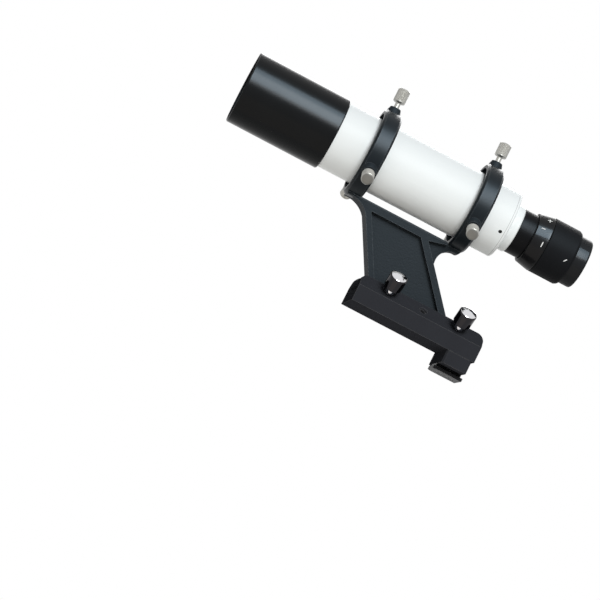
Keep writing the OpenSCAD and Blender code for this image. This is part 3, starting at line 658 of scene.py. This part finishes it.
def threaded_rod(low, high, crest, pitch):
    """A rod about Z with a helical thread, cut flat at both heights."""
    work = bmesh.new()
    root = crest - ROD_THREAD_DEPTH * pitch
    start = low - 1.5 * pitch
    turns = math.ceil((high - low) / pitch) + 2
    points = [work.verts.new((root, 0, start)), work.verts.new((crest, 0, start + pitch / 2)),
              work.verts.new((root, 0, start + pitch))]
    lines = [work.edges.new(pair) for pair in zip(points, points[1:])]
    bmesh.ops.spin(work, geom=points + lines, cent=(0, 0, 0), axis=(0, 0, 1),
                   dvec=(0, 0, pitch / THREAD_STEPS), angle=turns * math.tau, steps=turns * THREAD_STEPS,
                   use_merge=False)
    bmesh.ops.remove_doubles(work, verts=work.verts, dist=WELD)
    for height, way in ((low, -1), (high, 1)):
        bmesh.ops.bisect_plane(work, geom=work.verts[:] + work.edges[:] + work.faces[:], dist=WELD / 10,
                               plane_co=(0, 0, height), plane_no=(0, 0, way), clear_outer=True)
    bmesh.ops.holes_fill(work, edges=[edge for edge in work.edges if edge.is_boundary], sides=0)
    bmesh.ops.recalc_face_normals(work, faces=work.faces)
    return work


def threaded_bore(low, high, root, pitch):
    """The helical ridge of an inside thread about Z."""
    work = bmesh.new()
    turns = math.floor((high - low) / pitch)
    crest = root - BORE_THREAD_DEPTH * pitch
    outline = [(root, 0), (root, 0.8 * pitch), (crest, 0.5 * pitch), (crest, 0.3 * pitch)]
    end = work.faces.new([work.verts.new((radius, 0, low + height)) for radius, height in outline])
    bmesh.ops.spin(work, geom=[end], cent=(0, 0, 0), axis=(0, 0, 1),
                   dvec=(0, 0, pitch / THREAD_STEPS), angle=turns * math.tau, steps=turns * THREAD_STEPS,
                   use_merge=False)
    bmesh.ops.recalc_face_normals(work, faces=work.faces)
    return work


def joined(first, second):
    """Puts a second shell into the first."""
    mesh = bpy.data.meshes.new("shell")
    second.to_mesh(mesh)
    second.free()
    first.from_mesh(mesh)
    bpy.data.meshes.remove(mesh)


def soften(work, width, keep=()):
    """Rounds the sharp edges of a closed shell, apart from those to keep."""
    sharp = [edge for edge in work.edges
             if len(edge.link_faces) == 2 and edge.calc_face_angle(0.0) > SOFTEN_ANGLE and edge not in keep]
    bmesh.ops.bevel(work, geom=sharp, offset=width, offset_type="OFFSET", segments=2, profile=0.5,
                    affect="EDGES", material=-1, clamp_overlap=True)
    return work


def knurl(work, radius, low, high, columns, rows, depth):
    """Cuts a diamond knurl into the straight side between two heights."""
    upright = [edge for edge in work.edges
               if all(abs(math.hypot(vert.co.x, vert.co.y) - radius) < WELD for vert in edge.verts)
               and abs(abs(edge.verts[0].co.z - edge.verts[1].co.z) - (high - low)) < WELD]
    bmesh.ops.subdivide_edges(work, edges=upright, cuts=rows - 1, use_grid_fill=True)
    grooves = []
    for vert in work.verts:
        if abs(math.hypot(vert.co.x, vert.co.y) - radius) > WELD or not low < vert.co.z < high:
            continue
        column = round(math.atan2(vert.co.y, vert.co.x) / math.tau * columns)
        row = round((vert.co.z - low) / (high - low) * rows)
        if (column + row) % 2 and 0 < row < rows:
            grooves.append(vert)
    sink = 1 - depth / radius
    bmesh.ops.scale(work, vec=(sink, sink, 1), verts=grooves)
    bmesh.ops.connect_verts(work, verts=grooves)


def moved(work, matrix):
    """Moves a whole shell."""
    bmesh.ops.transform(work, matrix=matrix, verts=work.verts)
    return work


def copied(node):
    """A welded copy of a node's mesh, with its flat faces joined up."""
    work = bmesh.new()
    work.from_mesh(frame["nodes"][node].data)
    bmesh.ops.remove_doubles(work, verts=work.verts, dist=WELD)
    bmesh.ops.dissolve_limit(work, angle_limit=FLAT_ANGLE, verts=work.verts, edges=work.edges)
    return work


def piece(name, work, body, slot, *nodes, paint=None):
    """Makes an object of a shell, lets it ride on a body and stand for the nodes it replaces."""
    mesh = bpy.data.meshes.new(name)
    work.to_mesh(mesh)
    work.free()
    mesh.polygons.foreach_set("use_smooth", [True] * len(mesh.polygons))
    mesh.set_sharp_from_angle(angle=SMOOTH_ANGLE)
    mesh.materials.append(FINISHES[paint or slot]())
    thing = bpy.data.objects.new(name, mesh)
    bpy.context.scene.collection.objects.link(thing)
    thing.modifiers.new("flat_faces", "WEIGHTED_NORMAL").keep_sharp = True
    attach(thing, body)
    if nodes:
        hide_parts(*nodes)


# Operators, one for each piece or group of like pieces


class GUIDESCOPE_OT_finishes(bpy.types.Operator):
    """Give every carried-over solid its finish"""

    bl_idname = "guidescope.finishes"
    bl_label = "Finish the solids"

    def execute(self, context):
        for part in frame["record"]["subparts"]:
            mesh = frame["nodes"][part["node"]].data
            mesh.materials.clear()
            mesh.materials.append(FINISHES[part["material_slot"]]())
        return {"FINISHED"}


class GUIDESCOPE_OT_ring_screws(bpy.types.Operator):
    """Make the six knurled ring thumbscrews"""

    bl_idname = "guidescope.ring_screws"
    bl_label = "Ring thumbscrews"

    def execute(self, context):
        for end in RING_X:
            for side in SCREW_TURNS:
                self.screw(end, side)
        return {"FINISHED"}

    def screw(self, end, side):
        """A thumbscrew along Z with its thread, waisted neck and knurled head, then set in its ring."""
        size = sizes()
        small = size.small_edge
        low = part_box("front_top_screw")[0].z - AXIS_Z
        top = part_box("front_top_screw")[1].z - AXIS_Z
        head = top - size.ring_head_l
        boss = head - size.ring_neck_l
        neck_r = size.ring_neck_d / 2
        head_r = size.ring_head_d / 2
        knurl_low = head + small
        knurl_high = top - 2 * small
        work = turned([(0, boss - 2 * small), (neck_r, boss - 2 * small), (neck_r, head - 2.2 * small),
                       (neck_r + 0.6 * small, head - small), (neck_r + 2.2 * small, head),
                       (head_r - small, head), (head_r, knurl_low), (head_r, knurl_high),
                       (head_r - 0.7 * small, top - small), (head_r - 1.8 * small, top - small / 2),
                       (head_r / 2, top), (0, top)], size.knurl_columns)
        knurl(work, head_r, knurl_low, knurl_high, size.knurl_columns, size.knurl_rows, size.knurl_depth)
        joined(work, threaded_rod(low, boss + small / 2, size.ring_thread_d / 2, size.thread_pitch))
        turn = Matrix.Rotation(SCREW_TURNS[side], 4, "X")
        moved(work, Matrix.Translation((RING_X[end], 0, AXIS_Z)) @ turn)
        node = f"{end}_{side}_screw"
        piece(f"knurled_{node}", work, f"{end}_{side}_body", "nickel_screw", node)


class GUIDESCOPE_OT_clamp_screws(bpy.types.Operator):
    """Make the two polished clamp thumbscrews"""

    bl_idname = "guidescope.clamp_screws"
    bl_label = "Clamp thumbscrews"

    def execute(self, context):
        for node in ("clamp_screw_front", "clamp_screw_rear"):
            self.screw(node)
        return {"FINISHED"}

    def screw(self, node):
        """A thumbscrew along Z with its thread, neck and round-edged head, then set in the flank."""
        size = sizes()
        small = size.small_edge
        thread_r = size.clamp_thread_d / 2
        neck_r = size.clamp_neck_d / 2
        head_r = size.clamp_head_d / 2
        head = size.clamp_neck_l
        top = head + size.clamp_head_l
        rim = size.clamp_rim
        end = top - size.clamp_dome
        lean = math.radians(75)
        rim_turns = [lean * step / 8 for step in range(9)]
        arc = [(head_r - rim + rim * math.cos(turn), end + rim * (math.sin(turn) - math.sin(lean)))
               for turn in rim_turns]
        dome_r = arc[-1][0]
        dome_shares = [step / 12 for step in reversed(range(12))]
        dome = [(dome_r * share, end + bulge(dome_r, size.clamp_dome, share)) for share in dome_shares]
        neck = [(0, 0), (thread_r, 0), (thread_r, small), (neck_r - small, small), (neck_r, 2 * small),
                (neck_r, head - small), (neck_r + small, head)]
        side = [(head_r - small, head), (head_r, head + small)]
        work = turned(neck + side + arc + dome, TURN_STEPS)
        joined(work, threaded_rod(-size.clamp_thread_l, small, thread_r, size.thread_pitch))
        moved(work, on_flank(middle(node).x))
        piece(f"polished_{node}", work, f"{node}_body", "polished_screw", node)


class GUIDESCOPE_OT_clamp(bpy.types.Operator):
    """Make the clamp bar, riser and foot with broken edges, and the empty hole's countersink and thread"""

    bl_idname = "guidescope.clamp"
    bl_label = "Clamp, riser and foot"

    def execute(self, context):
        size = sizes()
        stand = on_flank((middle("clamp_screw_front").x + middle("clamp_screw_rear").x) / 2)
        for node in ("clamp_base", "shoe_riser", "shoe_foot"):
            work = copied(node)
            keep = self.countersink(work, stand.inverted())
            soften(work, size.edge_break, keep)
            piece(f"broken_edge_{node}", work, "base", slot_of(node), node)
        hole_r = size.clamp_thread_d / 2 + 0.1 * MM
        work = threaded_bore(-size.clamp_thread_l, -2 * size.sink, hole_r, size.thread_pitch)
        piece("empty_hole_thread", moved(work, stand), "base", "clamp_anodised")
        return {"FINISHED"}

    def countersink(self, work, level):
        """Chamfers the empty hole's mouth, if the shell has it, and hands out the chamfer's edges."""
        size = sizes()
        mouth = []
        for edge in work.edges:
            spots = [level @ vert.co for vert in edge.verts]
            if all(abs(spot.z) < WELD and spot.xy.length < size.clamp_thread_d for spot in spots):
                mouth.append(edge)
        if not mouth:
            return set()
        cut = bmesh.ops.bevel(work, geom=mouth, offset=size.sink, offset_type="OFFSET", segments=1,
                              profile=0.5, affect="EDGES", material=-1)
        return {edge for face in cut["faces"] for edge in face.edges}


class GUIDESCOPE_OT_bracket(bpy.types.Operator):
    """Make the ring bracket with a casting's soft edges and a round lower end on its rear arm"""

    bl_idname = "guidescope.bracket"
    bl_label = "Ring bracket"

    def execute(self, context):
        work = copied("ring_bracket")
        self.round_arm(work)
        soften(work, sizes().cast_edge)
        piece("cast_ring_bracket", work, "bracket", "bracket_paint", "ring_bracket")
        return {"FINISHED"}

    def round_arm(self, work):
        """Rounds the lower corner of the rear ring's arm, once the narrow flats beside it are one."""
        reach = sizes().arm_end
        across = {edge: edge.verts[0].co.xz for edge in work.edges
                  if (edge.verts[0].co.xz - edge.verts[1].co.xz).length < WELD
                  and ARM_ZONE[0] < edge.verts[0].co.z < ARM_ZONE[1]}
        sharp = [edge for edge in across if edge.calc_face_angle(0.0) > SOFTEN_ANGLE]
        corner = max(sharp, key=lambda edge: across[edge].x)
        place = across[corner]
        flats = [edge for edge in across if edge not in sharp and across[edge].x < place.x
                 and (across[edge] - place).length < 1.2 * reach]
        bmesh.ops.dissolve_edges(work, edges=flats, use_verts=True)
        bmesh.ops.bevel(work, geom=[corner], offset=reach, offset_type="OFFSET", segments=5, profile=0.5,
                        affect="EDGES", material=-1)


class GUIDESCOPE_OT_turned_pieces(bpy.types.Operator):
    """Make the tube, its cells, the dew shield, the focuser and the lens rings with fine rounded edges"""

    bl_idname = "guidescope.turned_pieces"
    bl_label = "Turned pieces"

    def execute(self, context):
        for node in ("dew_shield", "main_tube", "rear_cell", "focuser_neck", "focus_sleeve", "rubber_grip",
                     "eyecup", "objective_cell", "lens_retaining_ring", "eye_retaining_ring"):
            work = soften(copied(node), sizes().turned_edge)
            piece(f"turned_{node}", work, body_of(node), slot_of(node), node)
        return {"FINISHED"}


class GUIDESCOPE_OT_lenses(bpy.types.Operator):
    """Make the four lenses with smooth spherical faces"""

    bl_idname = "guidescope.lenses"
    bl_label = "Lenses"

    def execute(self, context):
        for node in ("crown_lens", "flint_lens", "field_lens", "eye_lens"):
            work = turned(self.outline(node), TURN_STEPS)
            moved(work, Matrix.Translation((0, 0, AXIS_Z)) @ Matrix.Rotation(math.radians(90), 4, "Y"))
            piece(f"polished_{node}", work, body_of(node), "lens_glass", node)
        return {"FINISHED"}

    def outline(self, node):
        """Half the outline of a lens, from the rims and middles of its two faces."""
        radius = span(node).y / 2
        points = [(math.hypot(vert.co.y, vert.co.z - AXIS_Z), vert.co.x)
                  for vert in frame["nodes"][node].data.vertices]
        rims = [x for away, x in points if away > 0.99 * radius]
        cores = [x for away, x in points if away < 0.01 * radius]
        front_rim, back_rim = min(rims), max(rims)
        half = (front_rim + back_rim) / 2
        front_core = min((x for x in cores if x < half), default=front_rim)
        back_core = max((x for x in cores if x > half), default=back_rim)
        shares = [step / 24 for step in range(25)]
        front, back = [[(radius * share, rim + bulge(radius, core - rim, share)) for share in shares]
                       for rim, core in ((front_rim, front_core), (back_rim, back_core))]
        return front + back[::-1]


class GUIDESCOPE_OT_focus_marks(bpy.types.Operator):
    """Paint the plus, the minus and the index ticks on the focus sleeve and grip"""

    bl_idname = "guidescope.focus_marks"
    bl_label = "Focus marks"

    def execute(self, context):
        self.mark("plus_mark", "focus_sleeve", x=13.8, turn=43.5, along=2.6, around=2.9)
        self.mark("index_tick", "focus_sleeve", x=11.65, turn=70.3, along=2.2)
        self.mark("minus_mark", "focus_sleeve", x=14.6, turn=101.7, around=3.1)
        self.mark("grip_tick", "rubber_grip", x=30.8, turn=108.0, around=2.1, lean=36)
        return {"FINISHED"}

    def mark(self, name, node, x, turn, along=0, around=0, lean=0):
        """A cross, or one stroke where a length is nothing, laid on a turned node, in mm and degrees."""
        size = sizes()
        work = bmesh.new()
        # Three by three cells of one unit, of which the middle row and column are the strokes
        bmesh.ops.create_grid(work, x_segments=3, y_segments=3, size=1.5)
        spare = []
        for face in work.faces:
            spot = face.calc_center_median()
            arm_along = abs(spot.x) > 0.9
            arm_around = abs(spot.y) > 0.9
            if (arm_along and (arm_around or not along)) or (arm_around and not around):
                spare.append(face)
        bmesh.ops.delete(work, geom=spare, context="FACES")
        for vert in work.verts:
            vert.co.x = math.copysign(along * MM if abs(vert.co.x) > 1 else size.mark_w, vert.co.x) / 2
            vert.co.y = math.copysign(around * MM if abs(vert.co.y) > 1 else size.mark_w, vert.co.y) / 2
        bmesh.ops.subdivide_edges(work, edges=work.edges, cuts=3, use_grid_fill=True)
        bmesh.ops.rotate(work, cent=(0, 0, 0), matrix=Matrix.Rotation(math.radians(lean), 3, "Z"),
                         verts=work.verts)
        radius = surface_r(node, x * MM)
        slope = (surface_r(node, (x + 0.5) * MM) - surface_r(node, (x - 0.5) * MM)) / MM
        for vert in work.verts:
            angle = math.radians(turn) + vert.co.y / radius
            away = radius + slope * vert.co.x + size.mark_t / 2
            vert.co = Vector((x * MM + vert.co.x, -away * math.sin(angle), AXIS_Z + away * math.cos(angle)))
        bmesh.ops.recalc_face_normals(work, faces=work.faces)
        bmesh.ops.solidify(work, geom=work.faces[:], thickness=size.mark_t)
        bmesh.ops.recalc_face_normals(work, faces=work.faces)
        piece(name, work, "focus_ring", "tube_white", paint="mark_paint")


class GUIDESCOPE_OT_eyecup_ribs(bpy.types.Operator):
    """Mould the six fine ribs along the eyecup"""

    bl_idname = "guidescope.eyecup_ribs"
    bl_label = "Eyecup ribs"

    def execute(self, context):
        size = sizes()
        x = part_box("eyecup")[1].x - size.cup_rib_back
        work = bmesh.new()
        bmesh.ops.create_cube(work, size=1.0)
        bmesh.ops.scale(work, vec=(size.cup_rib_l, size.cup_rib_w, 2 * size.cup_rib_t), verts=work.verts)
        soften(work, size.cup_rib_t * 0.6)
        bmesh.ops.translate(work, vec=(x, 0, surface_r("eyecup", x)), verts=work.verts)
        bmesh.ops.rotate(work, cent=(0, 0, 0), matrix=Matrix.Rotation(CUP_RIB_TURN, 3, "X"),
                         verts=work.verts)
        copies = CUP_RIBS - 1
        bmesh.ops.spin(work, geom=work.verts[:] + work.edges[:] + work.faces[:], cent=(0, 0, 0),
                       axis=(1, 0, 0), angle=math.tau * copies / CUP_RIBS, steps=copies, use_duplicate=True)
        bmesh.ops.translate(work, vec=(0, 0, AXIS_Z), verts=work.verts)
        bmesh.ops.recalc_face_normals(work, faces=work.faces)
        piece("eyecup_ribs", work, "focus_ring", "grip_rubber")
        return {"FINISHED"}


class GUIDESCOPE_OT_studio(bpy.types.Operator):
    """Set up the floor, the lamps, the white surroundings and the camera"""

    bl_idname = "guidescope.studio"
    bl_label = "Studio"

    def execute(self, context):
        scene = context.scene
        scene.view_settings.view_transform = "Standard"
        self.floor(scene)
        self.surroundings(scene)
        self.lamp(scene, "key_lamp", studio().key, place=(0.06, -1.15, 0.68), size=(0.5, 0.8),
                  tint=(0.95, 0.985, 1.0))
        sheen = self.lamp(scene, "sheen_lamp", studio().sheen, place=(-0.08, -1.05, 0.9), size=(1, 1),
                          tint=(0.66, 0.85, 1.0))
        sheen.visible_diffuse = False
        sheen.light_linking.receiver_collection = self.dark_things(scene)
        self.lamp(scene, "fill_lamp", studio().fill, place=(0.1, 1.1, 0.85), size=(1.0, 0.7),
                  tint=(1.0, 1.0, 1.0))
        self.lamp(scene, "bounce_lamp", studio().bounce, place=(-0.1, -0.2, -0.40), size=(0.8, 0.8),
                  tint=(1.0, 0.78, 0.55))
        self.camera(scene)
        return {"FINISHED"}

    def dark_things(self, scene):
        """The objects with a dark finish, which alone show the sheen lamp."""
        group = bpy.data.collections.new("dark_things")
        dark = [FINISHES[name]() for name in DARK_FINISHES]
        for thing in scene.objects:
            if thing.type == "MESH" and any(paint in dark for paint in thing.data.materials):
                group.objects.link(thing)
        return group

    def seen(self, tone):
        """1 for rays from the camera and for those that the object mirrors or passes."""
        camera, mirrored, passed = tone.add("ShaderNodeLightPath", {}, {}, "Is Camera Ray", "Is Glossy Ray",
                                            "Is Transmission Ray")
        return camera.most(mirrored).most(passed)

    def floor(self, scene):
        """A pale round floor that fades into the white surroundings and is clear from below."""
        work = bmesh.new()
        bmesh.ops.create_circle(work, cap_ends=True, segments=TURN_STEPS, radius=FLOOR_R)
        bmesh.ops.translate(work, vec=(0, 0, studio().floor_z), verts=work.verts)
        mesh = bpy.data.meshes.new("studio_floor")
        work.to_mesh(mesh)
        work.free()
        paint = bpy.data.materials.new("studio_floor_paint")
        paint.use_nodes = True
        tone = Tone(paint.node_tree)
        away = tone.add("ShaderNodeVectorMath", {"operation": "LENGTH"}, {0: tone.seat((1, 1, 0))}, "Value")
        pale = tone.blend(tone.noise(300.0, 3.0), (0.80, 0.80, 0.79), (0.84, 0.84, 0.83))
        matt = tone.add("ShaderNodeBsdfDiffuse", {}, {"Color": pale})
        white = tone.add("ShaderNodeEmission", {}, {"Color": (1, 1, 1), "Strength": 1.0})
        share = self.seen(tone) * (0.5 + 0.5 * away.step(*FLOOR_FADE))
        above = tone.add("ShaderNodeMixShader", {}, {0: share, 1: matt, 2: white})
        below = tone.add("ShaderNodeBsdfTransparent", {}, {})
        under = tone.add("ShaderNodeNewGeometry", {}, {}, "Backfacing")
        both = tone.add("ShaderNodeMixShader", {}, {0: under, 1: above, 2: below})
        tone.add("ShaderNodeOutputMaterial", {}, {"Surface": both})
        mesh.materials.append(paint)
        ground = bpy.data.objects.new("studio_floor", mesh)
        scene.collection.objects.link(ground)

    def surroundings(self, scene):
        """White for the eye and for mirrors, a softer even light for the rest."""
        scene.world = bpy.data.worlds.new("studio_world")
        scene.world.use_nodes = True
        tone = Tone(scene.world.node_tree)
        even = tone.add("ShaderNodeBackground", {}, {"Color": (0.97, 0.985, 1.0),
                                                     "Strength": studio().ambient})
        white = tone.add("ShaderNodeBackground", {}, {"Color": (1.0, 1.0, 1.0), "Strength": 1.0})
        mixed = tone.add("ShaderNodeMixShader", {}, {0: self.seen(tone), 1: even, 2: white})
        tone.add("ShaderNodeOutputWorld", {}, {"Surface": mixed})

    def lamp(self, scene, name, watts, place, size, tint):
        """A soft rectangular lamp that points at the object."""
        data = bpy.data.lights.new(name, "AREA")
        data.shape = "RECTANGLE"
        data.size, data.size_y = size
        data.energy = watts
        data.color = tint
        lamp = bpy.data.objects.new(name, data)
        lamp.location = place
        aim = LAMP_AIM - lamp.location
        lamp.rotation_euler = aim.to_track_quat("-Z", "Y").to_euler()
        scene.collection.objects.link(lamp)
        return lamp

    def camera(self, scene):
        """The camera at the photograph's place, aim and roll."""
        data = bpy.data.cameras.new("camera")
        data.lens = studio().lens
        data.sensor_width = 36.0
        data.clip_start = 0.01
        data.clip_end = 50.0
        place = Vector(studio().camera)
        ahead = (Vector(studio().aim) - place).normalized()
        right = ahead.cross(Vector((0, 0, 1))).normalized()
        down = ahead.cross(right)
        turn = studio().roll
        across = math.cos(turn) * right + math.sin(turn) * down
        below = math.cos(turn) * down - math.sin(turn) * right
        camera = bpy.data.objects.new("camera", data)
        stand = Matrix((across, -below, -ahead)).transposed().to_4x4()
        camera.matrix_world = Matrix.Translation(place) @ stand
        scene.collection.objects.link(camera)
        scene.camera = camera


class GUIDESCOPE_PT_panel(bpy.types.Panel):
    """Lists the makers of the guide scope's pieces"""

    bl_idname = "GUIDESCOPE_PT_panel"
    bl_label = "Guide Scope"
    bl_space_type = "VIEW_3D"
    bl_region_type = "UI"
    bl_category = "Guide Scope"

    def draw(self, context):
        for maker in OPERATORS:
            self.layout.operator(maker.bl_idname)
        for group in (sizes(), colours(), studio()):
            box = self.layout.box()
            for name in group.bl_rna.properties.keys():
                if name not in {"rna_type", "name"}:
                    box.prop(group, name)


GROUPS = (GuideScopeSizes, GuideScopeColours, GuideScopeStudio)
OPERATORS = (
    GUIDESCOPE_OT_finishes,
    GUIDESCOPE_OT_clamp,
    GUIDESCOPE_OT_clamp_screws,
    GUIDESCOPE_OT_bracket,
    GUIDESCOPE_OT_ring_screws,
    GUIDESCOPE_OT_turned_pieces,
    GUIDESCOPE_OT_lenses,
    GUIDESCOPE_OT_focus_marks,
    GUIDESCOPE_OT_eyecup_ribs,
    GUIDESCOPE_OT_studio,
)


def register():
    """Makes the classes and their properties known."""
    for kind in GROUPS + OPERATORS + (GUIDESCOPE_PT_panel,):
        bpy.utils.register_class(kind)
    bpy.types.Scene.guide_scope_sizes = PointerProperty(type=GuideScopeSizes)
    bpy.types.Scene.guide_scope_colours = PointerProperty(type=GuideScopeColours)
    bpy.types.Scene.guide_scope_studio = PointerProperty(type=GuideScopeStudio)


def unregister():
    """Takes the classes and their properties away again."""
    del bpy.types.Scene.guide_scope_sizes
    del bpy.types.Scene.guide_scope_colours
    del bpy.types.Scene.guide_scope_studio
    for kind in reversed(GROUPS + OPERATORS + (GUIDESCOPE_PT_panel,)):
        bpy.utils.unregister_class(kind)


def main():
    """Dresses the scope from start to end."""
    register()
    bpy.ops.guidescope.finishes()
    bpy.ops.guidescope.clamp()
    bpy.ops.guidescope.clamp_screws()
    bpy.ops.guidescope.bracket()
    bpy.ops.guidescope.ring_screws()
    bpy.ops.guidescope.turned_pieces()
    bpy.ops.guidescope.lenses()
    bpy.ops.guidescope.focus_marks()
    bpy.ops.guidescope.eyecup_ribs()
    bpy.ops.guidescope.studio()


if __name__ == "__main__":
    main()
